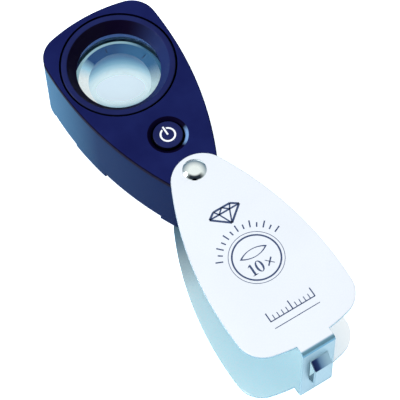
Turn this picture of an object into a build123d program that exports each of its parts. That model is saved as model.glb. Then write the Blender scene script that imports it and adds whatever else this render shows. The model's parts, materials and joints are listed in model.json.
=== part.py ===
from build123d import *
import math
import os

# A folding pocket loupe: a navy plastic head with a triplet lens, a ring of
# light-emitting diodes and a push button swings on one rivet out of a folded
# sheet-metal cover. The head points along +Y and the cover along -Y.
# Millimetres, +Z up, origin at the centre of the base of the bounding box.
# Each piece is drawn with the rivet axis on Z and its own length along +Y,
# then `save` turns the cover's pieces round and moves everything into place.

# ---- outline shared by the head and the cover, measured from the rivet ----
TIP = 3.1               # rivet axis to the rounded tip
TIP_R = 6.2
HALF_WIDTH = 12.9
WIDEST_AT = 32.0        # rivet axis to the widest section
CORNER_R = 5.6
HEAD_END = 42.2         # rivet axis to the middle of the lens end
END_R = 35.0
COVER_GROWS = 0.1       # the cover's plates stand this far outside the head

# ---- sizes of cutting tools, past the faces that they cut ----
OVER = 1.0
WIDE = 20.0             # past both sides of the head
TALL = 60.0             # past the head's ends and its top

# ---- heights, from the lowest point up ----
SHEET = 0.6             # cover sheet thickness
RIVET_HEAD_LOW = 0.7
RIVET_DOME = 0.9
LOWER_GAP = 1.5
HEAD_HEIGHT = 18.6
UPPER_GAP = 0.5
PLATE_LOW = RIVET_HEAD_LOW
PLATE_LOW_TOP = PLATE_LOW + SHEET
HEAD_LOW = PLATE_LOW_TOP + LOWER_GAP
HEAD_TOP = HEAD_LOW + HEAD_HEIGHT
PLATE_TOP_UNDER = HEAD_TOP + UPPER_GAP
PLATE_TOP = PLATE_TOP_UNDER + SHEET

# ---- cover strap and cord bridge ----
STRAP_HALF = 3.65
STRAP_AT = 44.4         # rivet axis to the strap's outer face
FOLD_R = 1.0            # outer radius of both folds
BRIDGE_HALF = 1.9
BRIDGE_OUT = 1.9        # how far the lanced strip stands out
BRIDGE_DROP = 4.4       # top of the strip below the top plate's face
BRIDGE_LENGTH = 10.4
BRIDGE_RAMP_TOP = 2.3
BRIDGE_RAMP_LOW = 1.1
BRIDGE_ROOT = 0.3       # the strip runs this far into the strap at each end
NECK_OVERLAP = 3.0      # the strap's neck runs this far into the plates

# ---- pivot ----
RIVET_R = 1.3
RIVET_HEAD_R = 2.4
RIVET_TAIL = 0.2        # lower end of the shaft, inside the cap
CAP_CHAMFER = 0.3
UPPER_WASHER_R = 3.0
LOWER_WASHER_R = 3.4
LOWER_WASHER_THICK = 0.5
SPRING_R = 3.2
SPRING_THICK = 0.35
RUNNING_FIT = 0.05      # radial clearance of shaft in bush
BUSH_WALL = 0.5
PIVOT_BOSS_R = 3.0
STACK_CLEARANCE = 0.05  # air between washers and head

# ---- head shell ----
WALL = 1.2
ROOF = 1.6
TOP_EDGE_R = 0.3
SCREW_POST_R = 1.7
NICK_FROM = 26.5        # finger nick in the lower edge, from the rivet axis
NICK_TO = 35.0
NICK_DEEP = 0.7
NICK_HIGH = 0.8
LENS_AT = 28.95
BEZEL_SEAT_R = 12.0
BEZEL_R = 11.65
BEZEL_THICK = 1.6
BEZEL_EDGE = 0.15
FUNNEL_TOP_R = 10.45
LENS_OPEN_R = 8.6
FUNNEL_DEPTH = 2.5
BARREL_R = 10.6
BARREL_SLACK = 0.05
BUTTON_AT = 9.95
BUTTON_R = 3.05
WELL_R = 3.4
WELL_CHAMFER = 0.8
WELL_CHAMFER_DEEP = 0.55
SLEEVE_WALL = 0.9       # guide sleeve below the well
SLEEVE_GAP = 0.4        # air between the sleeve and the switch
BUTTON_EDGE_R = 0.25
BUTTON_THICK = 2.2
BUTTON_TRAVEL = 0.5
PLUNGER_R = 1.0
PLUNGER_DIP = 0.4       # the plunger stands this far in the switch
SYMBOL_R = 1.64
SYMBOL_STROKE = 0.36
SYMBOL_GAP = 0.26
SYMBOL_BAR = 2.0
SYMBOL_DEEP = 0.15

# ---- lens group: two outer menisci cemented on a biconvex core ----
GLASS_R = 9.0
OUTER_CURVE_R = 24.0
INNER_CURVE_R = 16.0
OUTER_CENTRE = 1.1      # centre thickness of an outer element
CORE_EDGE = 1.0         # edge thickness of the core
GLASS_SLACK = 0.02      # radial clearance of the glass in the barrel
BEZEL_LIP = 0.2         # straight lip below the funnel
RETAINER_THICK = 1.0
GLASS_SEAT = 0.25       # the crowned glass stands this far into its seats

# ---- light ring and rear cover ----
LED_COUNT = 6
LED_RING_R = 9.15
BOARD_BORE_R = 8.1
BOARD_THICK = 0.8
BOARD_RISE = 1.4        # board above the rear cover
LED_HALF_WIDTH = 0.8
LED_HALF_DEPTH = 0.4
LED_THICK = 0.6
DIFFUSER_THICK = 0.7    # flange that rests on the rear cover
DIFFUSER_INSET = 0.3    # frosted face below the rear cover's outer face
FIELD_FOOT_R = 6.2      # bore of the light tube at its foot
FIELD_R = 5.6           # bore at the throat, just behind the glass
THROAT_LIP_R = 7.1      # the lip follows the glass outward from the throat
LIP_R = 8.0             # rim of the lip, which passes the board's bore
TUBE_WALL = 0.5
LIP_THICK = 0.9
LIP_AIR = 0.18          # air between the lip and the glass
LIP_MARKS = (80, 18)    # degrees round from +X, locating slots in the lip
MARK_HALF = 0.14
MARK_FROM = 5.9
MARK_DEEP = 0.5
TAB_HALF = 2.2
TAB_REACH = 0.6         # each board's tab runs this far past the wires
WIRE_AT = 17.5
WIRE_R = 0.35
WIRE_APART = 1.2        # each wire's distance from the middle plane
APERTURE_R = 9.8
REAR_THICK = 1.5
APERTURE_CHAMFER = 0.5

# ---- battery bay ----
DOOR_FROM = 2.9
DOOR_TO = 17.1
DOOR_THICK = 1.7
DOOR_INSET = 0.35
JOINT_GAP = 0.15        # air round the door and the rear cover
CELL_R = 5.8
CELL_HEIGHT = 3.05
CELL_COUNT = 3
CELL_AT = 10.0
CELL_STEP = 0.5         # the cell's cap is this much smaller, and stands
CELL_STEP_HIGH = 0.35   # this much above the can
CELL_SLACK = 0.1
HOLDER_WALL = 0.5
CONTACT = 0.2           # contact sheet thickness
LEAF_R = 3.2
LEAF_BORE_R = 1.2
LEAF_SPRING = 0.3       # the leaf stands up this much to press on the stack
PLATE_CONTACT_R = 3.6
STUB_R = 0.9
STUB_HIGH = 0.6
BOARD_MARGIN = 0.4      # switch board beyond the cells
SWITCH_HALF = 2.3
SWITCH_HIGH = 1.6
SWITCH_BORE_DEEP = 0.5
GRIP_COUNT = 5          # shallow grip grooves across the door
GRIP_PITCH = 1.2
GRIP_HALF_WIDTH = 0.25
GRIP_HALF_LENGTH = 3.5
GRIP_DEEP = 0.3
SCREW_R = 0.8
SCREW_HEAD_R = 1.4
SCREW_HEAD_RIM = 0.25
SCREW_LENGTH = 6.0
SCREW_SLACK = 0.05
RECESS_HALF_LENGTH = 0.9
RECESS_HALF_WIDTH = 0.18
RECESS_DEEP = 0.4
DOOR_SCREWS = [(-7.6, 15.0), (7.6, 15.0)]
REAR_SCREWS = [(-7.2, 38.3), (7.2, 38.3)]

# ---- overall placement in the row frame ----
REACH_BACK = STRAP_AT + BRIDGE_OUT
PIVOT_Y = (REACH_BACK - HEAD_END) / 2


def outline(grow=0.0):
    """Face of the shared outline: tip, bowed sides, corners and end, all arcs."""
    tip_r = TIP_R + grow
    half = HALF_WIDTH + grow
    corner_r = CORNER_R + grow
    end_r = END_R + grow
    tip_y = TIP_R - TIP
    end_y = HEAD_END - END_R
    rise = WIDEST_AT - tip_y
    side_r = (half**2 + rise**2 - tip_r**2) / (2 * (half - tip_r))
    side_x = half - side_r
    # corner circle, tangent inside both the side arc and the end arc
    gap = math.hypot(side_x, end_y - WIDEST_AT)
    reach_side = side_r - corner_r
    reach_end = end_r - corner_r
    along = (reach_side**2 - reach_end**2 + gap**2) / (2 * gap)
    across = math.sqrt(reach_side**2 - along**2)
    ux = -side_x / gap
    uy = (end_y - WIDEST_AT) / gap
    corner_x = side_x + along * ux - across * uy
    corner_y = WIDEST_AT + along * uy + across * ux
    # angles of the tangent points
    a_tip = math.atan2(tip_y - WIDEST_AT, -side_x)
    a_side = math.atan2(corner_y - WIDEST_AT, corner_x - side_x)
    a_end = math.atan2(corner_y - end_y, corner_x)

    def on(cx, cy, r, a):
        return (cx + r * math.cos(a), cy + r * math.sin(a))

    p_tip = on(side_x, WIDEST_AT, side_r, a_tip)
    p_mid = on(side_x, WIDEST_AT, side_r, (a_tip + a_side) / 2)
    p_side = on(side_x, WIDEST_AT, side_r, a_side)
    p_corner = on(corner_x, corner_y, corner_r, (a_side + a_end) / 2)
    p_end = on(0, end_y, end_r, a_end)

    def flip(p):
        return (-p[0], p[1])

    edges = [
        ThreePointArc(flip(p_tip), (0, tip_y - tip_r), p_tip),
        ThreePointArc(p_tip, p_mid, p_side),
        ThreePointArc(p_side, p_corner, p_end),
        ThreePointArc(p_end, (0, end_y + end_r), flip(p_end)),
        ThreePointArc(flip(p_end), flip(p_corner), flip(p_side)),
        ThreePointArc(flip(p_side), flip(p_mid), flip(p_tip)),
    ]
    return make_face(edges)


def slab(grow, low, high):
    """The outline as a solid between two heights."""
    return Pos(0, 0, low) * extrude(outline(grow), high - low)


def disc(r, low, high, x=0.0, y=0.0):
    return Pos(x, y, (low + high) / 2) * Cylinder(r, high - low)


def ring(r_out, r_in, low, high, x=0.0, y=0.0):
    return disc(r_out, low, high, x, y) - disc(r_in, low - OVER, high + OVER, x, y)


def block(x0, x1, y0, y1, z0, z1):
    centre = Pos((x0 + x1) / 2, (y0 + y1) / 2, (z0 + z1) / 2)
    return centre * Box(x1 - x0, y1 - y0, z1 - z0)


def turned(points, y=0.0):
    """Solid of revolution about a vertical axis from (radius, height) points."""
    face = make_face(Plane.XZ * Polyline(*points, close=True))
    return Pos(0, y, 0) * revolve(face, Axis.Z)


def lens_face(top_r, low_r, top_z, low_z, rim_r):
    """Half section of a lens: arcs of signed radius above and below.

    A positive radius bulges the surface upward. top_z and low_z are the
    heights of the surfaces at the rim.
    """
    def crown(r):
        size = abs(r)
        bulge = size - math.sqrt(size**2 - rim_r**2)
        return math.copysign(bulge, r)

    def half_way(r):
        size = abs(r)
        bulge = math.sqrt(size**2 - rim_r**2 / 4) - math.sqrt(size**2 - rim_r**2)
        return math.copysign(bulge, r)

    top = top_z + crown(top_r)
    low = low_z + crown(low_r)
    edges = [
        ThreePointArc((0, top), (rim_r / 2, top_z + half_way(top_r)), (rim_r, top_z)),
        Line((rim_r, top_z), (rim_r, low_z)),
        ThreePointArc((rim_r, low_z), (rim_r / 2, low_z + half_way(low_r)), (0, low)),
        Line((0, low), (0, top)),
    ]
    return make_face([Plane.XZ * edge for edge in edges])


def screw_profile(bottom, top, slack=0.0):
    """Countersunk screw form, head down, with its rim just above HEAD_LOW."""
    rim = HEAD_LOW + SCREW_HEAD_RIM
    neck = rim + SCREW_HEAD_R - SCREW_R
    head_r = SCREW_HEAD_R + slack
    shank_r = SCREW_R + slack
    return turned([(0, bottom), (head_r, bottom), (head_r, rim), (shank_r, neck), (shank_r, top), (0, top)])


def screws(places):
    """Cross-recess screws as one group of separate solids."""
    body = screw_profile(HEAD_LOW, HEAD_LOW + SCREW_LENGTH)
    slot = block(-RECESS_HALF_LENGTH, RECESS_HALF_LENGTH, -RECESS_HALF_WIDTH, RECESS_HALF_WIDTH,
                 HEAD_LOW - OVER, HEAD_LOW + RECESS_DEEP)
    body -= slot
    body -= Rot(0, 0, 90) * slot
    return Compound([Pos(x, y, 0) * body for x, y in places])


def screw_hole(x, y):
    """Countersunk hole that takes one screw with a little slack."""
    hole = screw_profile(HEAD_LOW - OVER, HEAD_LOW + SCREW_LENGTH + OVER, slack=SCREW_SLACK)
    return Pos(x, y, 0) * hole


def save(name, shape, side="head"):
    """Turn a cover piece to -Y, move the piece into the row frame and write it."""
    turned_shape = Rot(0, 0, 180) * shape if side == "cover" else shape
    placed = Pos(0, PIVOT_Y, 0) * turned_shape
    placed.label = name
    export_step(placed, os.path.join("parts", name + ".step"))


# ---- derived heights of the lens stack ----
INNER_SAG = INNER_CURVE_R - math.sqrt(INNER_CURVE_R**2 - GLASS_R**2)
OUTER_SAG = OUTER_CURVE_R - math.sqrt(OUTER_CURVE_R**2 - GLASS_R**2)
OUTER_EDGE = OUTER_CENTRE + INNER_SAG - OUTER_SAG
BEZEL_FOOT = HEAD_TOP - FUNNEL_DEPTH - BEZEL_LIP
GLASS_TOP_RIM = BEZEL_FOOT - GLASS_SEAT
CORE_TOP_RIM = GLASS_TOP_RIM - OUTER_EDGE
CORE_LOW_RIM = CORE_TOP_RIM - CORE_EDGE
GLASS_LOW_RIM = CORE_LOW_RIM - OUTER_EDGE
BOARD_LOW = HEAD_LOW + REAR_THICK + BOARD_RISE
BOARD_TOP = BOARD_LOW + BOARD_THICK
CELL_LOW = HEAD_LOW + DOOR_THICK + CONTACT + LEAF_SPRING
CELL_TOP = CELL_LOW + CELL_COUNT * CELL_HEIGHT
SWITCH_BOARD_LOW = CELL_TOP + CONTACT + STUB_HIGH
SWITCH_BOARD_TOP = SWITCH_BOARD_LOW + BOARD_THICK
SWITCH_TOP = SWITCH_BOARD_TOP + SWITCH_HIGH
BUTTON_LOW = HEAD_TOP - BUTTON_THICK


# ---- cover body ----
def cover_shell():
    """One folded sheet: two plates, a neck and a strap with a lanced bridge."""
    plates = slab(COVER_GROWS, PLATE_LOW, PLATE_LOW_TOP) + slab(COVER_GROWS, PLATE_TOP_UNDER, PLATE_TOP)
    neck_from = HEAD_END - NECK_OVERLAP
    outer = block(-STRAP_HALF, STRAP_HALF, neck_from, STRAP_AT, PLATE_LOW, PLATE_TOP)
    folds = outer.edges().filter_by(Axis.X).group_by(Axis.Y)[-1]
    outer = fillet(folds, FOLD_R)
    inner = block(-STRAP_HALF - OVER, STRAP_HALF + OVER, neck_from - OVER, STRAP_AT - SHEET,
                  PLATE_LOW_TOP, PLATE_TOP_UNDER)
    inner_folds = inner.edges().filter_by(Axis.X).group_by(Axis.Y)[-1]
    inner = fillet(inner_folds, FOLD_R - SHEET)
    shell = plates + (outer - inner)
    shell -= disc(RIVET_R, -OVER, PLATE_TOP + OVER)
    # lanced strip
    top = PLATE_TOP - BRIDGE_DROP
    low = top - BRIDGE_LENGTH
    inside = STRAP_AT - SHEET
    out = STRAP_AT + BRIDGE_OUT
    window = block(-BRIDGE_HALF, BRIDGE_HALF, inside - OVER, STRAP_AT + OVER, low, top)
    crest_top = top - BRIDGE_RAMP_TOP
    crest_low = low + BRIDGE_RAMP_LOW
    under_top = SHEET * math.tan(math.atan2(BRIDGE_OUT, BRIDGE_RAMP_TOP) / 2)
    over_low = SHEET * math.tan(math.atan2(BRIDGE_OUT, BRIDGE_RAMP_LOW) / 2)
    outer_line = [(STRAP_AT, top + BRIDGE_ROOT), (STRAP_AT, top), (out, crest_top), (out, crest_low),
                  (STRAP_AT, low), (STRAP_AT, low - BRIDGE_ROOT)]
    inner_line = [(inside, low - BRIDGE_ROOT), (inside, low + over_low), (out - SHEET, crest_low + over_low),
                  (out - SHEET, crest_top - under_top), (inside, top - under_top), (inside, top + BRIDGE_ROOT)]
    section = make_face(Plane.YZ * Polyline(*outer_line, *inner_line, close=True))
    strip = extrude(section, BRIDGE_HALF, both=True)
    return shell - window + strip


def pivot_rivet():
    """Domed head and shaft in one piece, down through both plates."""
    dome_r = (RIVET_HEAD_R**2 + RIVET_DOME**2) / (2 * RIVET_DOME)
    dome = Pos(0, 0, PLATE_TOP + RIVET_DOME - dome_r) * Sphere(dome_r)
    dome &= disc(RIVET_HEAD_R, PLATE_TOP, PLATE_TOP + RIVET_DOME + OVER)
    return dome + disc(RIVET_R, RIVET_TAIL, PLATE_TOP)


def rivet_cap():
    """Closing head pressed on the rivet's lower end."""
    cap = disc(RIVET_HEAD_R, 0, RIVET_HEAD_LOW)
    cap = chamfer(cap.edges().group_by(Axis.Z)[0], CAP_CHAMFER)
    return cap - disc(RIVET_R, RIVET_TAIL, RIVET_HEAD_LOW + OVER)


def upper_washer():
    return ring(UPPER_WASHER_R, RIVET_R + RUNNING_FIT, HEAD_TOP + STACK_CLEARANCE, PLATE_TOP_UNDER)


def lower_washer():
    return ring(LOWER_WASHER_R, RIVET_R + RUNNING_FIT, PLATE_LOW_TOP, PLATE_LOW_TOP + LOWER_WASHER_THICK)


def spring_washer():
    """Conical spring washer that keeps the swing firm."""
    low = PLATE_LOW_TOP + LOWER_WASHER_THICK
    high = HEAD_LOW - STACK_CLEARANCE
    inner = RIVET_R + 2 * RUNNING_FIT
    return turned([(inner, high - SPRING_THICK), (SPRING_R, low), (SPRING_R, low + SPRING_THICK), (inner, high)])


# ---- head body ----
def upper_housing():
    """Navy shell, open below, with the lens seat, button well and bosses."""
    body = slab(0, HEAD_LOW, HEAD_TOP)
    body = fillet(body.edges().group_by(Axis.Z)[-1], TOP_EDGE_R)
    hollow = slab(-WALL, HEAD_LOW - OVER, HEAD_TOP - ROOF)
    hollow -= disc(PIVOT_BOSS_R, HEAD_LOW - OVER, HEAD_TOP)
    body -= hollow
    # lens seat and barrel bore
    body -= disc(BEZEL_SEAT_R, HEAD_TOP - BEZEL_THICK, HEAD_TOP + OVER, y=LENS_AT)
    barrel_bore = disc(BARREL_R + BARREL_SLACK, HEAD_LOW - OVER, HEAD_TOP, y=LENS_AT)
    body -= barrel_bore
    # button well with its wide chamfer, and a guide sleeve below it
    body += disc(WELL_R + SLEEVE_WALL, SWITCH_TOP + SLEEVE_GAP, HEAD_TOP - ROOF, y=BUTTON_AT)
    body -= disc(WELL_R, HEAD_LOW, HEAD_TOP + OVER, y=BUTTON_AT)
    chamfer_foot = HEAD_TOP - WELL_CHAMFER_DEEP
    mouth_r = WELL_R + WELL_CHAMFER
    body -= turned([(0, chamfer_foot), (WELL_R, chamfer_foot), (mouth_r, HEAD_TOP), (mouth_r, HEAD_TOP + OVER),
                    (0, HEAD_TOP + OVER)], y=BUTTON_AT)
    # bore for the pivot bush
    body -= disc(RIVET_R + RUNNING_FIT + BUSH_WALL, HEAD_LOW - OVER, HEAD_TOP + OVER)
    # step that the battery door fills, open at both long sides
    body -= block(-WIDE, WIDE, DOOR_FROM, DOOR_TO, HEAD_LOW - OVER, HEAD_LOW + DOOR_THICK)
    # screw bosses, cut clear of the barrel
    posts = [disc(SCREW_POST_R, HEAD_LOW + DOOR_THICK, HEAD_TOP - ROOF, x, y) for x, y in DOOR_SCREWS]
    posts += [disc(SCREW_POST_R, HEAD_LOW + REAR_THICK, HEAD_TOP - ROOF, x, y) for x, y in REAR_SCREWS]
    for post in posts:
        body += (post & slab(-TOP_EDGE_R, HEAD_LOW, HEAD_TOP)) - barrel_bore
    for x, y in DOOR_SCREWS + REAR_SCREWS:
        body -= screw_hole(x, y)
    # a finger nick along the lower edge of each side wall
    nick = block(HALF_WIDTH - NICK_DEEP, HALF_WIDTH + OVER, NICK_FROM, NICK_TO,
                 HEAD_LOW - OVER, HEAD_LOW + NICK_HIGH)
    return body - nick - mirror(nick, Plane.YZ)


def battery_door():
    """Lid over the cells, the full width of the head and slightly inset."""
    lid = slab(-DOOR_INSET, HEAD_LOW, HEAD_LOW + DOOR_THICK)
    lid &= block(-WIDE, WIDE, DOOR_FROM + JOINT_GAP, DOOR_TO - JOINT_GAP, HEAD_LOW - OVER, HEAD_LOW + DOOR_THICK)
    lid -= disc(PIVOT_BOSS_R + JOINT_GAP, 0, TALL)
    for x, y in DOOR_SCREWS:
        lid -= screw_hole(x, y)
    # grip grooves for a fingertip
    groove_from = CELL_AT - GRIP_PITCH * (GRIP_COUNT - 1) / 2
    for i in range(GRIP_COUNT):
        y = groove_from + GRIP_PITCH * i
        lid -= block(-GRIP_HALF_LENGTH, GRIP_HALF_LENGTH, y - GRIP_HALF_WIDTH, y + GRIP_HALF_WIDTH,
                     HEAD_LOW - OVER, HEAD_LOW + GRIP_DEEP)
    return lid


def rear_cover():
    """Plate that closes the lens end, with the viewing aperture."""
    plate = slab(-WALL - JOINT_GAP, HEAD_LOW, HEAD_LOW + REAR_THICK)
    plate &= block(-WIDE, WIDE, DOOR_TO + JOINT_GAP, TALL, HEAD_LOW - OVER, HEAD_TOP)
    plate -= disc(APERTURE_R, 0, TALL, y=LENS_AT)
    for x, y in REAR_SCREWS:
        plate -= screw_hole(x, y)
    rim = plate.edges().filter_by(GeomType.CIRCLE).filter_by(lambda e: abs(e.radius - APERTURE_R) < 0.01)
    return chamfer(rim.group_by(Axis.Z)[0], APERTURE_CHAMFER)


def pivot_bush():
    return ring(RIVET_R + RUNNING_FIT + BUSH_WALL, RIVET_R + RUNNING_FIT, HEAD_LOW, HEAD_TOP)


def lens_bezel():
    """Flat rim flush with the head, then a conical funnel down to the glass."""
    shoulder = HEAD_TOP - BEZEL_THICK
    return turned([(FUNNEL_TOP_R, HEAD_TOP), (BEZEL_R - BEZEL_EDGE, HEAD_TOP), (BEZEL_R, HEAD_TOP - BEZEL_EDGE),
                   (BEZEL_R, shoulder), (BARREL_R, shoulder), (BARREL_R, BEZEL_FOOT), (LENS_OPEN_R, BEZEL_FOOT),
                   (LENS_OPEN_R, HEAD_TOP - FUNNEL_DEPTH)], y=LENS_AT)


def lens_barrel():
    """Tube that holds the cemented glass between the bezel and a ring."""
    return ring(BARREL_R, GLASS_R + GLASS_SLACK, BOARD_TOP, BEZEL_FOOT, y=LENS_AT)


def door_screws():
    return screws(DOOR_SCREWS)


def rear_screws():
    return screws(REAR_SCREWS)


def lens_retaining_ring():
    """Ring that locks the glass in the barrel from below."""
    high = GLASS_LOW_RIM - GLASS_SEAT
    return ring(GLASS_R, LENS_OPEN_R, high - RETAINER_THICK, high, y=LENS_AT)


def front_element():
    face = lens_face(OUTER_CURVE_R, INNER_CURVE_R, GLASS_TOP_RIM, CORE_TOP_RIM, GLASS_R)
    return Pos(0, LENS_AT, 0) * revolve(face, Axis.Z)


def middle_element():
    face = lens_face(INNER_CURVE_R, -INNER_CURVE_R, CORE_TOP_RIM, CORE_LOW_RIM, GLASS_R)
    return Pos(0, LENS_AT, 0) * revolve(face, Axis.Z)


def rear_element():
    face = lens_face(-INNER_CURVE_R, -OUTER_CURVE_R, CORE_LOW_RIM, GLASS_LOW_RIM, GLASS_R)
    return Pos(0, LENS_AT, 0) * revolve(face, Axis.Z)


def led_board():
    """Annular board with a tab towards the battery bay for its two wires."""
    board = disc(BARREL_R, BOARD_LOW, BOARD_TOP, y=LENS_AT)
    board += block(-TAB_HALF, TAB_HALF, WIRE_AT - TAB_REACH, LENS_AT, BOARD_LOW, BOARD_TOP)
    return board - disc(BOARD_BORE_R, BOARD_LOW - OVER, BOARD_TOP + OVER, y=LENS_AT)


def leds():
    """Small flat lamps under the board, facing the work."""
    lamps = []
    for i in range(LED_COUNT):
        turn = Rot(0, 0, i * 360 / LED_COUNT)
        lamp = block(-LED_HALF_WIDTH, LED_HALF_WIDTH, LED_RING_R - LED_HALF_DEPTH, LED_RING_R + LED_HALF_DEPTH,
                     BOARD_LOW - LED_THICK, BOARD_LOW)
        lamps.append(Pos(0, LENS_AT, 0) * turn * lamp)
    return Compound(lamps)


def under_glass(r):
    """Height of the glass's rear face at a radius."""
    return GLASS_LOW_RIM - OUTER_SAG + OUTER_CURVE_R - math.sqrt(OUTER_CURVE_R**2 - r**2)


def light_diffuser():
    """Frosted ring below the lamps, with a light tube up to the glass and a lip round its throat."""
    seat = HEAD_LOW + REAR_THICK
    flange = seat + DIFFUSER_THICK
    face = HEAD_LOW + DIFFUSER_INSET
    window = APERTURE_R - JOINT_GAP
    lip = [(r, under_glass(r) - LIP_AIR) for r in (LIP_R, THROAT_LIP_R, FIELD_R)]
    throat = lip[-1][1]
    body = turned([(FIELD_FOOT_R, face), (window, face), (window, seat), (BARREL_R, seat), (BARREL_R, flange),
                   (FIELD_FOOT_R + TUBE_WALL, flange), (FIELD_R + TUBE_WALL, throat - LIP_THICK),
                   (LIP_R, lip[0][1] - LIP_THICK), *lip], y=LENS_AT)
    slot = block(MARK_FROM, THROAT_LIP_R, -MARK_HALF, MARK_HALF, throat - MARK_DEEP, throat + OVER)
    for angle in LIP_MARKS:
        body -= Pos(0, LENS_AT, 0) * Rot(0, 0, angle) * slot
    return body


def battery_holder():
    """Insulating sleeve round the stack of cells, up to the switch board."""
    bore = CELL_R + CELL_SLACK
    return ring(bore + HOLDER_WALL, bore, HEAD_LOW + DOOR_THICK, SWITCH_BOARD_LOW, y=CELL_AT)


def button_cells():
    """Three silver cells standing on each other."""
    cells = []
    for i in range(CELL_COUNT):
        low = CELL_LOW + i * CELL_HEIGHT
        top = low + CELL_HEIGHT
        step = top - CELL_STEP_HIGH
        cap_r = CELL_R - CELL_STEP
        cells.append(turned([(0, low), (CELL_R, low), (CELL_R, step), (cap_r, step), (cap_r, top), (0, top)],
                            y=CELL_AT))
    return Compound(cells)


def negative_contact():
    """Leaf under the stack."""
    low = HEAD_LOW + DOOR_THICK
    return ring(LEAF_R, LEAF_BORE_R, low, low + CONTACT + LEAF_SPRING, y=CELL_AT)


def positive_contact():
    """Plate on top of the stack with a stub up to the switch board."""
    plate = disc(PLATE_CONTACT_R, CELL_TOP, CELL_TOP + CONTACT, y=CELL_AT)
    return plate + disc(STUB_R, CELL_TOP, SWITCH_BOARD_LOW, y=CELL_AT)


def switch_board():
    """Round board over the cells, with a tab for the two wires."""
    board = disc(CELL_R + BOARD_MARGIN, SWITCH_BOARD_LOW, SWITCH_BOARD_TOP, y=CELL_AT)
    tab = block(-TAB_HALF, TAB_HALF, CELL_AT, WIRE_AT + TAB_REACH, SWITCH_BOARD_LOW, SWITCH_BOARD_TOP)
    return board + tab


def tact_switch():
    """Square click switch with a well for the plunger."""
    base = block(-SWITCH_HALF, SWITCH_HALF, BUTTON_AT - SWITCH_HALF, BUTTON_AT + SWITCH_HALF,
                 SWITCH_BOARD_TOP, SWITCH_TOP)
    well_foot = SWITCH_TOP - SWITCH_BORE_DEEP - BUTTON_TRAVEL
    return base - disc(PLUNGER_R + RUNNING_FIT, well_foot, SWITCH_TOP + OVER, y=BUTTON_AT)


def led_leads():
    """Two insulated wires, straight from the switch board to the lamp board."""
    wires = [disc(WIRE_R, BOARD_TOP, SWITCH_BOARD_LOW, x, WIRE_AT) for x in (-WIRE_APART, WIRE_APART)]
    return Compound(wires)


# ---- button body ----
def symbol_plan(low, high):
    """Power symbol: an open ring and a bar that points at the lens."""
    symbol = ring(SYMBOL_R, SYMBOL_R - SYMBOL_STROKE, low, high, y=BUTTON_AT)
    bar_half = SYMBOL_STROKE / 2
    open_half = bar_half + SYMBOL_GAP
    symbol -= block(-open_half, open_half, BUTTON_AT, BUTTON_AT + BUTTON_R, low - OVER, high + OVER)
    return symbol + block(-bar_half, bar_half, BUTTON_AT, BUTTON_AT + SYMBOL_BAR, low, high)


def power_button():
    """Round cap with a softened edge and a pocket for the symbol."""
    cap = disc(BUTTON_R, BUTTON_LOW, HEAD_TOP, y=BUTTON_AT)
    cap = fillet(cap.edges().group_by(Axis.Z)[-1], BUTTON_EDGE_R)
    return cap - symbol_plan(HEAD_TOP - SYMBOL_DEEP, HEAD_TOP + OVER)


def button_symbol():
    """White inlay, level with the cap."""
    return symbol_plan(HEAD_TOP - SYMBOL_DEEP, HEAD_TOP)


def switch_plunger():
    """Pin between the button and the switch's spring."""
    return disc(PLUNGER_R, SWITCH_TOP - PLUNGER_DIP, BUTTON_LOW, y=BUTTON_AT)


os.makedirs("parts", exist_ok=True)
HEAD_PIECES = [upper_housing, battery_door, rear_cover, pivot_bush, lens_bezel, lens_barrel,
               lens_retaining_ring, front_element, middle_element, rear_element, led_board, leds,
               light_diffuser, battery_holder, button_cells, negative_contact, positive_contact,
               switch_board, tact_switch, led_leads, door_screws, rear_screws, power_button,
               button_symbol, switch_plunger]
COVER_PIECES = [cover_shell, pivot_rivet, rivet_cap, upper_washer, lower_washer, spring_washer]
for make in HEAD_PIECES:
    save(make.__name__, make())
for make in COVER_PIECES:
    save(make.__name__, make(), side="cover")
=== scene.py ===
import json
import math

import bmesh
import bpy
from mathutils import Matrix, Vector


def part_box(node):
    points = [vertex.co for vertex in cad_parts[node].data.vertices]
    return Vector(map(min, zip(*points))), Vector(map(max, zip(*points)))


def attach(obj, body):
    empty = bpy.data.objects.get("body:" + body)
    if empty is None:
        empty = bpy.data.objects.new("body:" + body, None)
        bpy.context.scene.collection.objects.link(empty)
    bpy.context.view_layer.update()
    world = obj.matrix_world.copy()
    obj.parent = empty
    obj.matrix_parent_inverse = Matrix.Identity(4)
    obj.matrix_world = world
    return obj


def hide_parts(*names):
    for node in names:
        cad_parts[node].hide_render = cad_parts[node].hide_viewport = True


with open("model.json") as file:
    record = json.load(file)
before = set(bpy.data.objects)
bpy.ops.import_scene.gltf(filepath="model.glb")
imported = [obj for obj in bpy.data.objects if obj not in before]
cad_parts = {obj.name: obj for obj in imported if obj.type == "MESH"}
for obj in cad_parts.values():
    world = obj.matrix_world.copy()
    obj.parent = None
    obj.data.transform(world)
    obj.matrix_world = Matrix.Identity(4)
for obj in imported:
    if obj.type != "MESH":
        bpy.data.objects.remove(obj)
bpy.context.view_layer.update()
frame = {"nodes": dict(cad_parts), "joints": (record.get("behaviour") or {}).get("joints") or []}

MM = 0.001
NODES = frame["nodes"]
JOINTS = {joint["name"]: joint for joint in frame["joints"]}
SCENE = bpy.context.scene
SCENE.view_settings.view_transform = "Standard"


# ---------------------------------------------------------------- places on the object
def middle(node):
    low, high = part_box(node)
    return (low + high) / 2


LENS_CENTRE = middle("front_element")
BUTTON_CENTRE = middle("power_button")
PIVOT = Vector(JOINTS["head_swing"]["pos_m"])
HEAD_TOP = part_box("upper_housing")[1].z
PLATE_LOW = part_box("cover_shell")[0].z
PLATE_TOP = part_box("cover_shell")[1].z
# thickness of the cover's sheet
SHEET = 0.6 * MM
# the diffuser's lip climbs this much from the throat to its rim
LIP_RISE = 0.71 * MM


def along(distance):
    """Y at this many millimetres from the pivot towards the lens end; the strap is at about -44."""
    return PIVOT.y + distance * MM


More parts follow.
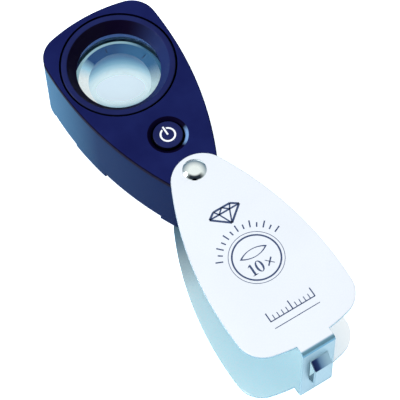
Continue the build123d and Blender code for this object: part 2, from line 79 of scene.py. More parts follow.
def under_head(depth):
    """Height this many millimetres below the head's top face."""
    return HEAD_TOP - depth * MM


def under_plate(depth):
    """Height this many millimetres below the cover's top face."""
    return PLATE_TOP - depth * MM


# ---------------------------------------------------------------- camera
def make_camera():
    """Long lens, looking down on the eye side from the cover's left."""
    target = Vector((-0.27, -0.13, 12.9)) * MM
    distance = 433.8 * MM
    elevation = math.radians(64.18)
    azimuth = math.radians(-30.42)
    roll = math.radians(-2.06)
    back = Vector((math.sin(azimuth) * math.cos(elevation), -math.cos(azimuth) * math.cos(elevation),
                   math.sin(elevation)))
    data = bpy.data.cameras.new("camera")
    data.lens = 195.2
    data.clip_start = 0.01
    data.clip_end = 10
    camera = bpy.data.objects.new("camera", data)
    SCENE.collection.objects.link(camera)
    camera.rotation_mode = "QUATERNION"
    camera.location = target + back * distance
    look = (-back).to_track_quat("-Z", "Y")
    camera.rotation_quaternion = look @ Matrix.Rotation(roll, 3, "Z").to_quaternion()
    SCENE.camera = camera


# ---------------------------------------------------------------- lights and floor
HORIZON = (0.05, 0.13, 0.22)
OVERHEAD = (0.99, 1.0, 1.0)
# the dome is fully white from this sine of the elevation upwards
DOME_FULL = 0.8
SKY_STRENGTH = 1.04
# the unlit part of the room, and the cosines from its middle where it starts and is full
DARK_SIDE = Vector((-0.45, -0.77, 0.42)).normalized()
DARK_FADE = (0.90, 0.94)
DARK_COLOR = (0.004, 0.008, 0.012)

KEY_PLACE = Vector((-0.49, 0.25, 0.36))
KEY_SIZE = 0.26
KEY_POWER = 3.4
KEY_COLOR = (0.92, 0.97, 1.0)

FLOOR_HALF = 2.0
FLOOR_GLOW = (0.84, 0.92, 1.0)
FLOOR_GLOW_STRENGTH = 0.84


def make_sky():
    """A dome that is white overhead and cool at the horizon, with one unlit patch low in front."""
    world = bpy.data.worlds.new("studio")
    SCENE.world = world
    world.use_nodes = True
    tree = world.node_tree
    direction = tree.nodes.new("ShaderNodeTexCoord").outputs["Generated"]
    split = tree.nodes.new("ShaderNodeSeparateXYZ")
    tree.links.new(direction, split.inputs["Vector"])
    dome = tree.nodes.new("ShaderNodeValToRGB")
    tree.links.new(split.outputs["Z"], dome.inputs["Fac"])
    low, high = dome.color_ramp.elements
    low.color = (*HORIZON, 1)
    high.position = DOME_FULL
    high.color = (*OVERHEAD, 1)
    towards = tree.nodes.new("ShaderNodeVectorMath")
    towards.operation = "DOT_PRODUCT"
    towards.inputs[1].default_value = DARK_SIDE
    tree.links.new(direction, towards.inputs[0])
    shade = tree.nodes.new("ShaderNodeMapRange")
    shade.interpolation_type = "SMOOTHSTEP"
    shade.inputs["From Min"].default_value = DARK_FADE[0]
    shade.inputs["From Max"].default_value = DARK_FADE[1]
    tree.links.new(towards.outputs["Value"], shade.inputs["Value"])
    room = tree.nodes.new("ShaderNodeMix")
    room.data_type = "RGBA"
    tree.links.new(shade.outputs["Result"], room.inputs[MIX_FACTOR])
    tree.links.new(dome.outputs["Color"], room.inputs[MIX_LOW])
    room.inputs[MIX_HIGH].default_value = (*DARK_COLOR, 1)
    sky = tree.nodes["Background"]
    tree.links.new(room.outputs[MIX_RESULT], sky.inputs["Color"])
    sky.inputs["Strength"].default_value = SKY_STRENGTH


def make_key():
    """One soft disk from behind the lens end; it does not show inside the glass."""
    data = bpy.data.lights.new("key", "AREA")
    data.shape = "DISK"
    data.size = KEY_SIZE
    data.energy = KEY_POWER
    data.color = KEY_COLOR
    lamp = bpy.data.objects.new("key", data)
    SCENE.collection.objects.link(lamp)
    lamp.location = KEY_PLACE
    lamp.rotation_mode = "QUATERNION"
    lamp.rotation_quaternion = (-KEY_PLACE).to_track_quat("-Z", "Y")
    lamp.visible_transmission = False


def make_floor():
    """White paper, bright enough that hardly any shadow shows on it."""
    corners = [(-FLOOR_HALF, -FLOOR_HALF, 0), (FLOOR_HALF, -FLOOR_HALF, 0), (FLOOR_HALF, FLOOR_HALF, 0),
               (-FLOOR_HALF, FLOOR_HALF, 0)]
    mesh = bpy.data.meshes.new("floor")
    mesh.from_pydata(corners, [], [(0, 1, 2, 3)])
    floor = bpy.data.objects.new("floor", mesh)
    SCENE.collection.objects.link(floor)
    mat = Material("floor_paper")
    grain = mat.noise(220, detail=3)
    mat.drive("Base Color", mat.ramp(grain, [(0.3, (0.90, 0.92, 0.94)), (0.7, (0.93, 0.95, 0.97))]))
    mat.set("Roughness", 0.9)
    mat.set("Specular IOR Level", 0.1)
    mat.set("Emission Color", FLOOR_GLOW)
    mat.set("Emission Strength", FLOOR_GLOW_STRENGTH)
    mesh.materials.append(mat.block)


# ---------------------------------------------------------------- material tools
# sockets of the Mix node when it mixes colours
MIX_FACTOR = 0
MIX_LOW = 6
MIX_HIGH = 7
MIX_RESULT = 2


class Material:
    """A node material with short ways to add what this object's surfaces need."""

    def __init__(self, name):
        self.block = bpy.data.materials.new(name)
        self.block.use_nodes = True
        self.tree = self.block.node_tree
        self.shader = self.tree.nodes["Principled BSDF"]
        self.place = self.tree.nodes.new("ShaderNodeTexCoord").outputs["Object"]

    def node(self, kind, **settings):
        made = self.tree.nodes.new("ShaderNode" + kind)
        for key, value in settings.items():
            setattr(made, key, value)
        return made

    def link(self, source, target):
        self.tree.links.new(source, target)

    def fill(self, target, value):
        """Give a socket a link, a colour or a plain value."""
        if isinstance(value, bpy.types.NodeSocket):
            self.link(value, target)
        elif isinstance(value, tuple) and target.type == "RGBA":
            target.default_value = (*value, 1)
        else:
            target.default_value = value

    def drive(self, socket, source):
        self.link(source, self.shader.inputs[socket])

    def set(self, socket, value):
        self.fill(self.shader.inputs[socket], value)

    def noise(self, scale, detail=2.0, roughness=0.5, stretch=(1, 1, 1)):
        made = self.node("TexNoise")
        made.inputs["Scale"].default_value = scale
        made.inputs["Detail"].default_value = detail
        made.inputs["Roughness"].default_value = roughness
        mapping = self.node("Mapping")
        mapping.inputs["Scale"].default_value = stretch
        self.link(self.place, mapping.inputs["Vector"])
        self.link(mapping.outputs["Vector"], made.inputs["Vector"])
        return made.outputs["Fac"]

    def ramp(self, factor, stops):
        """Colours, or grey values, along a factor from 0 to 1."""
        made = self.node("ValToRGB")
        band = made.color_ramp
        while len(band.elements) < len(stops):
            band.elements.new(0.5)
        for element, (place, color) in zip(band.elements, stops):
            element.position = place
            if not isinstance(color, tuple):
                color = (color, color, color)
            element.color = (*color, 1)
        self.link(factor, made.inputs["Fac"])
        return made.outputs["Color"]

    def mix(self, factor, low, high):
        made = self.node("Mix", data_type="RGBA")
        self.fill(made.inputs[MIX_FACTOR], factor)
        self.fill(made.inputs[MIX_LOW], low)
        self.fill(made.inputs[MIX_HIGH], high)
        return made.outputs[MIX_RESULT]

    def paint(self, color, zones):
        """Lay each (mask, colour) over the last, in order."""
        for mask, over in zones:
            color = self.mix(mask, color, over)
        return color

    def times(self, value, other):
        made = self.node("Math", operation="MULTIPLY")
        self.fill(made.inputs[0], value)
        self.fill(made.inputs[1], other)
        return made.outputs["Value"]

    def span(self, value, low, high):
        """0 to 1, with soft ends, as the value goes from low to high."""
        made = self.node("MapRange", interpolation_type="SMOOTHSTEP")
        made.inputs["From Min"].default_value = low
        made.inputs["From Max"].default_value = high
        self.link(value, made.inputs["Value"])
        return made.outputs["Result"]

    def level(self, low, high, axis="Z"):
        """0 to 1 as one coordinate goes from low to high; metres in the frame."""
        split = self.node("SeparateXYZ")
        self.link(self.place, split.inputs["Vector"])
        return self.span(split.outputs[axis], low, high)

    def dot(self, vector, direction):
        made = self.node("VectorMath", operation="DOT_PRODUCT")
        self.fill(made.inputs[0], vector)
        self.fill(made.inputs[1], direction)
        return made.outputs["Value"]

    def flat_from(self, centre):
        """Position measured from the vertical axis through a point, with the height left out."""
        offset = self.node("VectorMath", operation="SUBTRACT")
        offset.inputs[1].default_value = centre
        self.link(self.place, offset.inputs[0])
        flat = self.node("VectorMath", operation="MULTIPLY")
        flat.inputs[1].default_value = (1, 1, 0)
        self.link(offset.outputs["Vector"], flat.inputs[0])
        return flat.outputs["Vector"]

    def radius(self, centre):
        """Distance from the vertical axis through a point."""
        made = self.node("VectorMath", operation="LENGTH")
        self.link(self.flat_from(centre), made.inputs[0])
        return made.outputs["Value"]

    def toward(self, centre, bearing):
        """Cosine of the angle round a vertical axis, 1 where it faces the bearing (degrees from +X)."""
        unit = self.node("VectorMath", operation="NORMALIZE")
        self.link(self.flat_from(centre), unit.inputs[0])
        turn = math.radians(bearing)
        return self.dot(unit.outputs["Vector"], (math.cos(turn), math.sin(turn), 0))

    def facing(self, direction, low, high):
        """0 to 1 as the surface turns towards a direction of the frame; low and high are cosines."""
        normal = self.node("TexCoord").outputs["Normal"]
        return self.span(self.dot(normal, direction), low, high)

    def edges(self, radius):
        """1 on sharp edges within the radius, 0 on flat ground."""
        bevel = self.node("Bevel", samples=4)
        bevel.inputs["Radius"].default_value = radius
        spread = self.node("MapRange")
        spread.inputs["From Min"].default_value = 0.99
        spread.inputs["From Max"].default_value = 0.80
        turn = self.dot(bevel.outputs["Normal"], self.node("NewGeometry").outputs["Normal"])
        self.link(turn, spread.inputs["Value"])
        return spread.outputs["Result"]

    def bump(self, height, depth, strength=1.0):
        """Relief of that depth in metres."""
        made = self.node("Bump")
        made.inputs["Strength"].default_value = strength
        made.inputs["Distance"].default_value = depth
        self.link(height, made.inputs["Height"])
        self.drive("Normal", made.outputs["Normal"])


def dimmed(color, factor):
    return tuple(factor * channel for channel in color)


# ---------------------------------------------------------------- plastics
NAVY_LOW = (0.007, 0.010, 0.070)
NAVY_HIGH = (0.010, 0.015, 0.090)


def cloudy(mat, low, high):
    """Faint large-scale drift between two tones."""
    return mat.ramp(mat.noise(160, detail=4), [(0.3, low), (0.7, high)])


def worn(high):
    """The tone of a plastic where it is rubbed."""
    return tuple(min(1.0, 1.5 * channel + 0.004) for channel in high)


def matt_grain(mat, rough=(0.42, 0.55), size=9000, depth=0.012 * MM, specular=0.2):
    """The fine spark-eroded skin of a moulded part."""
    fine = mat.noise(size, detail=2)
    mat.drive("Roughness", mat.ramp(fine, [(0.3, rough[0]), (0.7, rough[1])]))
    mat.bump(fine, depth, 0.6)
    mat.set("Specular IOR Level", specular)


def moulded(name, low, high, size=9000, depth=0.012 * MM):
    """Plain moulded plastic with rubbed edges."""
    mat = Material(name)
    mat.drive("Base Color", mat.mix(mat.edges(0.12 * MM), cloudy(mat, low, high), worn(high)))
    matt_grain(mat, size=size, depth=depth)
    return mat.block


def housing_plastic(name):
    """Navy shell of the head: painted shade makes it near black in the wells and in a band under its top
    edge, and a painted reflection makes it paler on the left flank.
    """
    mat = Material(name)
    # painted reflection: the walls paler from the rivet towards the lens end on the side that faces left
    wall_dark = (0.001, 0.010, 0.055)
    run = mat.level(along(-4), along(44), "Y")
    flank = mat.ramp(run, [(0.0, wall_dark), (0.45, (0.004, 0.022, 0.075)), (1.0, (0.045, 0.14, 0.24))])
    wall = mat.mix(mat.facing((-1, 0, 0), 0.72, 0.97), wall_dark, flank)
    body = mat.paint(wall, [
        (mat.level(under_head(0.9), under_head(0.45)), cloudy(mat, NAVY_LOW, NAVY_HIGH)),
        (mat.edges(0.12 * MM), worn(NAVY_HIGH)),
    ])
    # painted highlight on the chamfer round the button, on the right; the rest of the band under the top
    # edge is painted shade, near black
    near_button = mat.span(mat.radius(BUTTON_CENTRE), 4.6 * MM, 4.4 * MM)
    lit = mat.times(near_button, mat.span(mat.toward(BUTTON_CENTRE, -34), 0.80, 1.0))
    lit = mat.times(lit, mat.level(under_head(0.55), under_head(0.45)))
    band_shade_and_highlight = mat.mix(lit, (0.002, 0.001, 0.012), (0.17, 0.30, 0.55))
    # painted shade: near black from just under the top face down to 1 to 1.5 mm, round the walls and in the
    # wells
    lower = mat.mix(mat.level(under_head(1.5), under_head(1.0)), body, band_shade_and_highlight)
    mat.drive("Base Color", mat.mix(mat.level(under_head(0.07), under_head(0.01)), lower, body))
    matt_grain(mat, rough=(0.46, 0.56), specular=0.012)
    return mat.block


def funnel_plastic(name):
    """Bezel and button: navy on top; painted shade below it, darker down the funnel, most of all at its far
    side, lighter on the side that faces the light, and near black in the groove and on the button's sides.
    """
    mat = Material(name)
    top = cloudy(mat, (0.007, 0.011, 0.072), (0.010, 0.016, 0.092))
    # painted shade and light: lighter on the funnel's side at -35 degrees, darker elsewhere, near black from
    # 11.3 mm out
    side = mat.span(mat.toward(LENS_CENTRE, -35), 0.1, 1.0)
    groove = mat.span(mat.radius(LENS_CENTRE), 10.9 * MM, 11.3 * MM)
    funnel = mat.mix(side, (0.0035, 0.0012, 0.013), (0.014, 0.026, 0.105))
    body = mat.paint(funnel, [
        (groove, (0.001, 0.001, 0.006)),
        (mat.level(under_head(0.10), under_head(0.02)), top),
        (mat.edges(0.10 * MM), (0.018, 0.030, 0.12)),
    ])
    mat.drive("Base Color", body)
    matt_grain(mat, rough=(0.34, 0.44), specular=0.08)
    return mat.block


# ---------------------------------------------------------------- metals
FACE_TONE = (0.90, 0.94, 1.0)
# painted shade and reflection: the inside's cool tone, and the darker strap and fold
INSIDE_SHADE_TONE = (0.86, 1.0, 1.0)
STRAP_SHADE = (0.26, 0.39, 0.45)
FOLD_SHADE = (0.10, 0.26, 0.38)
CUT_TONE = (0.15, 0.30, 0.38)
NO_LIGHT = (0.0, 0.0, 0.0)


def satin_metal(name):
    """Bead-blasted sheet: fine round grain, small tonal drift; painted light and shade on the inside, the
    strap, the fold and the bridge, and a painted cool glow of bounce light inside the fold.
    """
    mat = Material(name)
    grain = mat.noise(3600, detail=3, roughness=0.7)
    # zones of the folded sheet
    lit_right_flank = mat.times(mat.level(2 * MM, 7 * MM, "X"), mat.level(along(-30), along(-36), "Y"))
    strap = mat.level(along(-43.3), along(-43.8), "Y")
    fold = mat.times(strap, mat.level(under_plate(1.2), under_plate(0.9)))
    bridge = mat.times(mat.level(along(-44.5), along(-44.7), "Y"),
                       mat.level(under_plate(6.9), under_plate(6.6)))
    low_cut = mat.times(mat.level(PLATE_LOW + 0.05 * MM, PLATE_LOW + 0.12 * MM),
                        mat.level(PLATE_LOW + SHEET - 0.03 * MM, PLATE_LOW + SHEET - 0.09 * MM))
    top_cut = mat.level(PLATE_TOP - SHEET - 0.05 * MM, PLATE_TOP - SHEET + 0.02 * MM)
    on_top = mat.level(under_plate(0.08), under_plate(0.03))
    edge = mat.times(mat.edges(0.22 * MM), 0.85)
    # the printed side
    drift = mat.noise(90, detail=3)
    outer = mat.ramp(drift, [(0.3, dimmed(FACE_TONE, 0.97)), (0.7, FACE_TONE)])
    outer = mat.mix(mat.ramp(grain, [(0.4, 0.0), (0.6, 0.25)]), outer, dimmed(FACE_TONE, 0.90))
    # painted shade: the strap's outer face darker blue
    outer = mat.mix(strap, outer, (0.13, 0.32, 0.46))
    # inside: a painted cool tone of shade and reflection, and painted shade duller where the head covers it,
    # darkest at the pivot end
    length = mat.level(along(-46), along(2), "Y")
    inner = mat.ramp(length, [(0.0, INSIDE_SHADE_TONE), (0.75, INSIDE_SHADE_TONE), (0.92, dimmed(INSIDE_SHADE_TONE, 0.65)),
                              (1.0, (0.14, 0.30, 0.40))])
    speck = mat.mix(0.20, inner, (0.16, 0.34, 0.46))
    inner = mat.mix(mat.ramp(grain, [(0.42, 0.0), (0.58, 0.6)]), inner, speck)
    # painted shade and reflection on the bridge: near black on the left, pale on the right
    bridge_shading = mat.ramp(mat.level(-2.2 * MM, 1.9 * MM, "X"), [
        (0.0, (0.008, 0.010, 0.06)), (0.25, (0.03, 0.06, 0.16)), (0.45, (0.16, 0.28, 0.42)),
        (1.0, (0.40, 0.58, 0.66)),
    ])
    # painted light: white on the right flank inside; painted shade on the strap, the bridge and the fold;
    # the sheet's cut edges darker blue
    inner = mat.paint(inner, [
        (lit_right_flank, (1.0, 1.0, 1.0)), (strap, STRAP_SHADE), (bridge, bridge_shading), (fold, FOLD_SHADE),
        (low_cut, CUT_TONE), (top_cut, CUT_TONE),
    ])
    mat.drive("Base Color", mat.paint(inner, [(on_top, outer), (edge, (0.10, 0.22, 0.30))]))
    # painted bounce light: a cool glow inside the fold, fainter on the strap
    bounce = mat.mix(strap, (0.042, 0.072, 0.088), (0.015, 0.026, 0.034))
    unlit = (lit_right_flank, bridge, low_cut, edge, on_top)
    mat.drive("Emission Color", mat.paint(bounce, [(zone, NO_LIGHT) for zone in unlit]))
    mat.set("Emission Strength", 1.0)
    mat.drive("Roughness", mat.ramp(grain, [(0.3, 0.40), (0.7, 0.52)]))
    mat.bump(grain, 0.01 * MM, 0.5)
    mat.set("Metallic", 1.0)
    return mat.block


def rivet_metal(name):
    """Mirror-like dome with a painted reflection of the unlit side of the room, a dark crescent low in it.
    """
    mat = Material(name)
    smear = mat.noise(700, detail=4)
    tone = (0.84, 0.91, 0.88)
    rough = 0.04
    clean = mat.ramp(smear, [(0.3, dimmed(tone, 0.94)), (0.7, tone)])
    low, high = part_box("pivot_rivet")
    half = (high.x - low.x) / 2
    across = mat.radius(PIVOT)
    # painted reflection: a dark crescent near the rim, on the side towards -118 degrees
    band = mat.times(mat.span(across, 0.55 * half, 0.74 * half), mat.span(across, half, 0.92 * half))
    room = mat.times(band, mat.span(mat.toward(PIVOT, -118), 0.45, 0.90))
    mat.drive("Base Color", mat.mix(room, clean, (0.02, 0.03, 0.04)))
    mat.drive("Roughness", mat.ramp(smear, [(0.3, rough), (0.7, rough * 2)]))
    mat.set("Metallic", 1.0)
    return mat.block


def plain_metal(name, color, rough=0.35):
    """Turned or pressed metal with faint tool marks."""
    mat = Material(name)
    turning = mat.noise(1500, detail=3, stretch=(0.2, 0.2, 6))
    mat.drive("Base Color", mat.ramp(turning, [(0.3, dimmed(color, 0.85)), (0.7, color)]))
    mat.drive("Roughness", mat.ramp(turning, [(0.3, rough), (0.7, rough * 1.4)]))
    mat.set("Metallic", 1.0)
    return mat.block


# ---------------------------------------------------------------- glass and frosted plastic
def clear_glass(name):
    """Optical glass with a blue anti-reflection coating."""
    mat = Material(name)
    film = mat.noise(500, detail=2)
    mat.drive("Base Color", mat.ramp(film, [(0.3, (0.78, 0.86, 0.86)), (0.7, (0.80, 0.88, 0.88))]))
    mat.drive("Roughness", mat.ramp(film, [(0.4, 0.0), (0.8, 0.012)]))
    mat.set("Transmission Weight", 1.0)
    mat.set("IOR", 1.52)
    mat.set("Specular Tint", (0.22, 0.42, 0.80))
    return mat.block


def ground_edge(name):
    """Ground and painted rim of the glass, blue, with a faint glow of painted light."""
    mat = Material(name)
    sand = mat.noise(5000, detail=2)
    rim_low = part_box("lens_retaining_ring")[1].z
    rim_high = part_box("lens_bezel")[0].z
    blue = mat.ramp(mat.level(rim_low, rim_high), [(0.0, (0.05, 0.11, 0.28)), (1.0, (0.04, 0.075, 0.24))])
    mat.drive("Base Color", mat.mix(mat.ramp(sand, [(0.3, 0.0), (0.7, 0.15)]), blue, (0.30, 0.42, 0.50)))
    mat.drive("Roughness", mat.ramp(sand, [(0.3, 0.6), (0.7, 0.8)]))
    # painted light: the blue rim glows though it is no lamp
    mat.drive("Emission Color", blue)
    mat.set("Emission Strength", 0.7)
    return mat.block


def lamp_plastic(name):
    """Milky yellow cap of a small LED, with light in it."""
    mat = Material(name)
    tone = (0.95, 0.9, 0.6)
    milk = mat.noise(1800, detail=3)
    mat.drive("Base Color", mat.ramp(milk, [(0.3, dimmed(tone, 0.93)), (0.7, tone)]))
    mat.drive("Roughness", mat.ramp(milk, [(0.3, 0.45), (0.7, 0.6)]))
    mat.set("Emission Color", tone)
    mat.set("Emission Strength", 1.0)
    return mat.block


def tube_glow(mat, climb):
    """Painted light and shade on the tube's wall: white at its foot, and blue at the throat on the far side.
    """
    near_side = mat.ramp(climb, [
        (0.0, (0.74, 0.83, 0.86)), (0.5, (0.68, 0.79, 0.82)), (1.0, (0.60, 0.72, 0.76)),
    ])
    far_side = mat.ramp(climb, [
        (0.0, (0.73, 0.82, 0.86)), (0.10, (0.42, 0.60, 0.70)), (0.30, (0.19, 0.37, 0.50)),
        (0.65, (0.06, 0.18, 0.33)), (1.0, (0.02, 0.08, 0.20)),
    ])
    return mat.mix(mat.span(mat.toward(LENS_CENTRE, 62), -1, 1), near_side, far_side)


def lip_glow(mat):
    """Painted light and shade on the lip: brightest on the left, dark blue at the far side, pale again near
    the rivet.
    """
    round_lip = mat.span(mat.toward(LENS_CENTRE, 190), -1, 1)
    lip = mat.ramp(round_lip, [
        (0.0, (0.03, 0.12, 0.26)), (0.12, (0.015, 0.06, 0.18)), (0.62, (0.01, 0.05, 0.18)),
        (0.80, (0.42, 0.70, 0.86)), (0.93, (1.0, 1.0, 1.0)),
    ])
    return mat.mix(mat.span(mat.toward(LENS_CENTRE, 285), 0.22, 0.90), lip, (0.60, 0.74, 0.78))


def light_tube(name):
    """Frosted tube and lip; the light and shade on them are painted and given off as a glow, not cast by the
    LEDs.
    """
    mat = Material(name)
    low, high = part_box("light_diffuser")
    throat = high.z - LIP_RISE
    across = mat.radius(LENS_CENTRE)
    on_lip = mat.level(throat - 0.10 * MM, throat - 0.02 * MM)
    rim = mat.times(mat.span(across, 7.47 * MM, 7.57 * MM), on_lip)
    # painted shade on the rim's far side, paler on its near side
    rim_far = mat.span(mat.toward(LENS_CENTRE, 100), 0.2, 0.8)
    rim_shading = mat.mix(rim_far, (0.04, 0.13, 0.24), (0.36, 0.56, 0.64))
    # painted shade: the slots cut below the throat stay dark
    below = mat.span(mat.level(throat - 0.12 * MM, throat), 1, 0)
    slot = mat.times(mat.span(across, 6.30 * MM, 6.36 * MM), below)
    glow = mat.paint(tube_glow(mat, mat.level(low.z, throat)), [
        (on_lip, lip_glow(mat)), (rim, rim_shading), (slot, (0.01, 0.02, 0.06)),
    ])
    milk = mat.noise(1800, detail=3)
    mat.drive("Base Color", mat.mix(mat.ramp(milk, [(0.3, 0.25), (0.7, 0.35)]), (0.0, 0.005, 0.01), glow))
    mat.drive("Roughness", mat.ramp(milk, [(0.3, 0.45), (0.7, 0.6)]))
    # the painted light and shade also glow
    mat.drive("Emission Color", glow)
    mat.set("Emission Strength", 0.82)
    mat.set("Specular IOR Level", 0.1)
    return mat.block


# ---------------------------------------------------------------- finishes
NAVY = housing_plastic("navy_plastic")
FUNNEL = funnel_plastic("funnel_plastic")
PALE_RING = moulded("pale_ring", (0.07, 0.14, 0.22), (0.09, 0.17, 0.26))
BLACK = moulded("black_plastic", (0.01, 0.01, 0.012), (0.02, 0.02, 0.023))
NYLON = moulded("nylon", (0.72, 0.71, 0.66), (0.8, 0.79, 0.75))
BOARD = moulded("board", (0.01, 0.08, 0.04), (0.015, 0.11, 0.055))
WIRE = moulded("wire", (0.35, 0.02, 0.02), (0.45, 0.03, 0.03))
MARK = moulded("white_mark", (0.85, 0.87, 0.9), (0.95, 0.96, 0.98))
INK = moulded("ink", (0.035, 0.055, 0.13), (0.05, 0.075, 0.16), size=14000, depth=0.003 * MM)
COVER = satin_metal("satin_cover")
RIVET = rivet_metal("rivet")
BRASS = plain_metal("brass", (0.78, 0.6, 0.3))
STEEL = plain_metal("steel", (0.7, 0.71, 0.73))
BLACK_STEEL = plain_metal("black_steel", (0.12, 0.12, 0.13))
BARREL = plain_metal("barrel", (0.3, 0.42, 0.56), 0.4)
GLASS = clear_glass("glass")
GROUND = ground_edge("ground_edge")
DIFFUSER = light_tube("diffuser")
LAMP = lamp_plastic("lamp")

FINISH = {
    "cover_shell": COVER, "pivot_rivet": RIVET, "rivet_cap": RIVET, "upper_washer": NYLON,
    "lower_washer": NYLON, "spring_washer": STEEL, "upper_housing": NAVY, "battery_door": NAVY,
    "rear_cover": NAVY, "pivot_bush": BRASS, "lens_bezel": FUNNEL, "lens_barrel": BARREL,
    "lens_retaining_ring": PALE_RING, "front_element": GLASS, "middle_element": GLASS, "rear_element": GLASS,
    "led_board": BOARD, "leds": LAMP, "light_diffuser": DIFFUSER, "battery_holder": BLACK,
    "button_cells": STEEL, "negative_contact": BRASS, "positive_contact": BRASS, "switch_board": BOARD,
    "tact_switch": BLACK, "led_leads": WIRE, "door_screws": BLACK_STEEL, "rear_screws": BLACK_STEEL,
    "power_button": FUNNEL, "button_symbol": MARK, "switch_plunger": MARK,
}

# millimetres
EDGE_RADIUS = {
    "cover_shell": 0.07, "upper_housing": 0.10, "battery_door": 0.12, "rear_cover": 0.08, "lens_bezel": 0.08,
    "power_button": 0.04, "rivet_cap": 0.06, "upper_washer": 0.05, "lower_washer": 0.05, "lens_barrel": 0.06,
    "light_diffuser": 0.06, "door_screws": 0.05, "rear_screws": 0.05,
}


def finish_nodes():
    """Each CAD node takes its own finish; the ones that show get rounded edges."""
    for name, piece in NODES.items():
        piece.data.materials.clear()
        piece.data.materials.append(FINISH[name])
        if name in EDGE_RADIUS:
            soften(piece, EDGE_RADIUS[name] * MM)


def soften(piece, radius):
    """Small rounded edges by modifiers, with the flat faces left flat."""
    weld = piece.modifiers.new("weld", "WELD")
    weld.merge_threshold = 0.002 * MM
    bevel = piece.modifiers.new("edges", "BEVEL")
    bevel.width = radius
    bevel.segments = 2
    bevel.limit_method = "ANGLE"
    bevel.angle_limit = math.radians(35)
    normals = piece.modifiers.new("normals", "WEIGHTED_NORMAL")
    normals.weight = 100


# ---------------------------------------------------------------- mesh tools
def add_piece(name, mesh, finish, body, smooth=True, replaces=()):
    """Put a mesh in the scene as a piece that rides on a body."""
    piece = bpy.data.objects.new(name, mesh)
    SCENE.collection.objects.link(piece)
    mesh.materials.append(finish)
    if smooth:
        for face in mesh.polygons:
            face.use_smooth = True
    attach(piece, body)
    if replaces:
        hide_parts(*replaces)


def turned_mesh(name, profile, centre, steps=128):
    """Closed solid of revolution from (radius, height) points; the first and the last lie on the axis."""
    mesh = bpy.data.meshes.new(name)
    form = bmesh.new()
    turns = [2 * math.pi * step / steps for step in range(steps)]
    rings = []
    for radius, height in profile[1:-1]:
        places = [(centre.x + radius * math.cos(turn), centre.y + radius * math.sin(turn), height)
                  for turn in turns]
        rings.append([form.verts.new(place) for place in places])
    for low, high in zip(rings, rings[1:]):
        for step in range(steps):
            after = (step + 1) % steps
            form.faces.new([low[step], low[after], high[after], high[step]])
    for (radius, height), ring in ((profile[0], rings[0]), (profile[-1], rings[-1])):
        pole = form.verts.new((centre.x, centre.y, height))
        for step in range(steps):
            form.faces.new([ring[step], ring[(step + 1) % steps], pole])
    bmesh.ops.recalc_face_normals(form, faces=form.faces)
    form.to_mesh(mesh)
    form.free()
    return mesh


# ---------------------------------------------------------------- lens
# radius of the two outer faces of the glass
GLASS_CURVE = 24 * MM


def cemented_glass():
    """The three cemented elements as the one optical body that light sees."""
    front_low, front_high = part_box("front_element")
    rear_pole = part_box("rear_element")[0].z
    rim = (front_high.x - front_low.x) / 2
    steps = 24
    radii = [rim * step / steps for step in range(steps + 1)]
    # how far the curved face has fallen back at each radius
    falls = [GLASS_CURVE - math.sqrt(GLASS_CURVE**2 - radius**2) for radius in radii]
    front = [(radius, front_high.z - fall) for radius, fall in zip(radii, falls)]
    rear = [(radius, rear_pole + fall) for radius, fall in zip(radii, falls)]
    mesh = turned_mesh("lens_glass", front + rear[::-1], LENS_CENTRE)
    add_piece("lens_glass", mesh, GLASS, "head",
              replaces=("front_element", "middle_element", "rear_element"))
    # the ground rim takes its own finish
    mesh.materials.append(GROUND)
    for face in mesh.polygons:
        if abs(face.normal.z) < 0.2:
            face.material_index = 1


# ---------------------------------------------------------------- printed marks
INK_LOW = PLATE_TOP + 0.002 * MM
INK_HIGH = PLATE_TOP + 0.02 * MM
# distance of each print's centre from the rivet, in millimetres
GEM_AT = 11.6
BADGE_AT = 22.45
RULER_AT = 35.2


class Print:
    """Thin ink on the top plate. Millimetres; x to the right, y towards the rivet, from a centre."""

    def __init__(self, from_rivet):
        self.form = bmesh.new()
        self.centre = Vector((PIVOT.x, PIVOT.y - from_rivet * MM))

    def at(self, x, y, z):
        return self.form.verts.new((self.centre.x + x * MM, self.centre.y + y * MM, z))

    def patch(self, points):
        """Closed flat prism over a simple outline."""
        low = [self.at(x, y, INK_LOW) for x, y in points]
        high = [self.at(x, y, INK_HIGH) for x, y in points]
        self.form.faces.new(low[::-1])
        self.form.faces.new(high)
        for i in range(len(points)):
            j = (i + 1) % len(points)
            self.form.faces.new([low[i], low[j], high[j], high[i]])

    def stroke(self, x0, y0, x1, y1, width):
        run = Vector((x1 - x0, y1 - y0))
        side = Vector((-run.y, run.x)).normalized() * width / 2
        start = Vector((x0, y0))
        end = Vector((x1, y1))
        self.patch([tuple(start - side), tuple(end - side), tuple(end + side), tuple(start + side)])

    def loop(self, outer, inner):
        """Closed ring between two outlines with the same number of points."""
        count = len(outer)
        levels = [[self.at(x, y, z) for x, y in line] for line, z in
                  ((outer, INK_HIGH), (inner, INK_HIGH), (inner, INK_LOW), (outer, INK_LOW))]
        for a, b in zip(levels, levels[1:] + levels[:1]):
            for i in range(count):
                j = (i + 1) % count
                self.form.faces.new([a[i], a[j], b[j], b[i]])

    def ellipse_ring(self, x, y, outer, inner, steps):
        turns = [2 * math.pi * i / steps for i in range(steps)]
        lines = []
        for wide, tall in (outer, inner):
            lines.append([(x + wide * math.cos(t), y + tall * math.sin(t)) for t in turns])
        self.loop(*lines)

    def ring(self, radius, width):
        self.ellipse_ring(0, 0, (radius, radius), (radius - width, radius - width), 120)

    def done(self, name):
        bmesh.ops.recalc_face_normals(self.form, faces=self.form.faces)
        mesh = bpy.data.meshes.new(name)
        self.form.to_mesh(mesh)
        self.form.free()
        add_piece(name, mesh, INK, "cover", smooth=False)


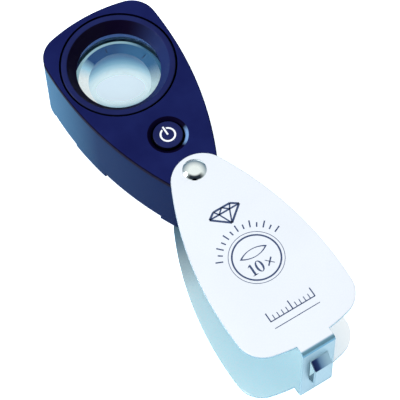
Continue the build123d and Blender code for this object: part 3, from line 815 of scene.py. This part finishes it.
def digit_one(ink, x, y, high):
    """Serif figure 1 standing on the line y."""
    left = x - 0.085 * high
    right = x + 0.085 * high
    foot_left = x - 0.22 * high
    foot_right = x + 0.22 * high
    foot_top = y + 0.06 * high
    flag_low = y + 0.86 * high
    flag_high = y + 0.97 * high
    ink.patch([(left, y), (right, y), (right, y + high), (left, flag_high)])
    ink.patch([(foot_left, y), (foot_right, y), (foot_right, foot_top), (foot_left, foot_top)])
    ink.patch([(x - 0.26 * high, y + 0.82 * high), (left, flag_low), (left, flag_high)])


def digit_zero(ink, x, y, high):
    """Serif figure 0: heavier at the sides than at the top."""
    ink.ellipse_ring(x, y + high / 2, (0.32 * high, 0.51 * high), (0.15 * high, 0.45 * high), 48)


def lens_outline(half, bulge, scale, steps=24):
    """A lens in side view: two arcs that meet in points at each end."""
    curve = (half**2 + bulge**2) / (2 * bulge)
    reach = math.asin(half / curve)
    turns = [reach * (2 * step / steps - 1) for step in range(steps + 1)]
    top = [(curve * math.sin(t) * scale, (curve * math.cos(t) - curve + bulge) * scale) for t in turns]
    return top + [(x, -y) for x, y in top[-2:0:-1]]


def badge():
    """Double ring with the magnification inside and a crown of rays outside."""
    ink = Print(BADGE_AT)
    ink.ring(5.55, 0.12)
    ink.ring(4.95, 0.34)
    figure_high = 2.5
    figure_foot = -3.1
    digit_one(ink, -2.1, figure_foot, figure_high)
    digit_zero(ink, -0.5, figure_foot, figure_high)
    # the multiplication sign, one stroke heavy and one light
    left, right = 1.0, 2.4
    low, high = figure_foot + 0.35, figure_foot + 1.75
    ink.stroke(left, low, right, high, 0.30)
    ink.stroke(left, high, right, low, 0.16)
    # a lens in side view above the figures
    lens_y = 1.15
    outer, inner = [[(x, lens_y + y) for x, y in lens_outline(3.1, 0.95, scale)] for scale in (1, 0.83)]
    ink.loop(outer, inner)
    rays = 13
    ray_step = 11
    near = 6.5
    for i in range(rays):
        angle = math.radians(90 + (i - (rays - 1) / 2) * ray_step)
        x, y = math.cos(angle), math.sin(angle)
        far = 8.0 if i % 2 == 0 else 7.5
        ink.stroke(near * x, near * y, far * x, far * y, 0.28)
    ink.done("print_badge")


def gem():
    """Outline of a cut stone, side view."""
    ink = Print(GEM_AT)
    half = 3.4
    table_half = 1.9
    facet_half = 1.2
    girdle = 0.7
    crown = 1.75
    foot = -2.1
    wide = 0.44
    points = [(-half, girdle), (-table_half, crown), (table_half, crown), (half, girdle), (0, foot)]
    for (x0, y0), (x1, y1) in zip(points, points[1:] + points[:1]):
        ink.stroke(x0, y0, x1, y1, wide)
    ink.stroke(-half, girdle, half, girdle, wide * 0.8)
    for side in (-1, 1):
        for x, y in ((0, foot), (0, crown), (side * table_half, crown)):
            ink.stroke(side * facet_half, girdle, x, y, wide * 0.7)
    ink.done("print_gem")


def ruler():
    """A ten millimetre scale, one tick each millimetre, with a thin line below it."""
    ink = Print(RULER_AT)
    half = 5
    end = half + 0.08
    ink.stroke(-end, 0, end, 0, 0.22)
    for x in range(-half, half + 1):
        long_tick = x % half == 0
        ink.stroke(x, 0, x, 2.0 if long_tick else 1.1, 0.24 if long_tick else 0.18)
    ink.stroke(-end, -1.6, end, -1.6, 0.16)
    ink.done("print_ruler")


make_camera()
make_sky()
make_key()
make_floor()
finish_nodes()
cemented_glass()
badge()
gem()
ruler()
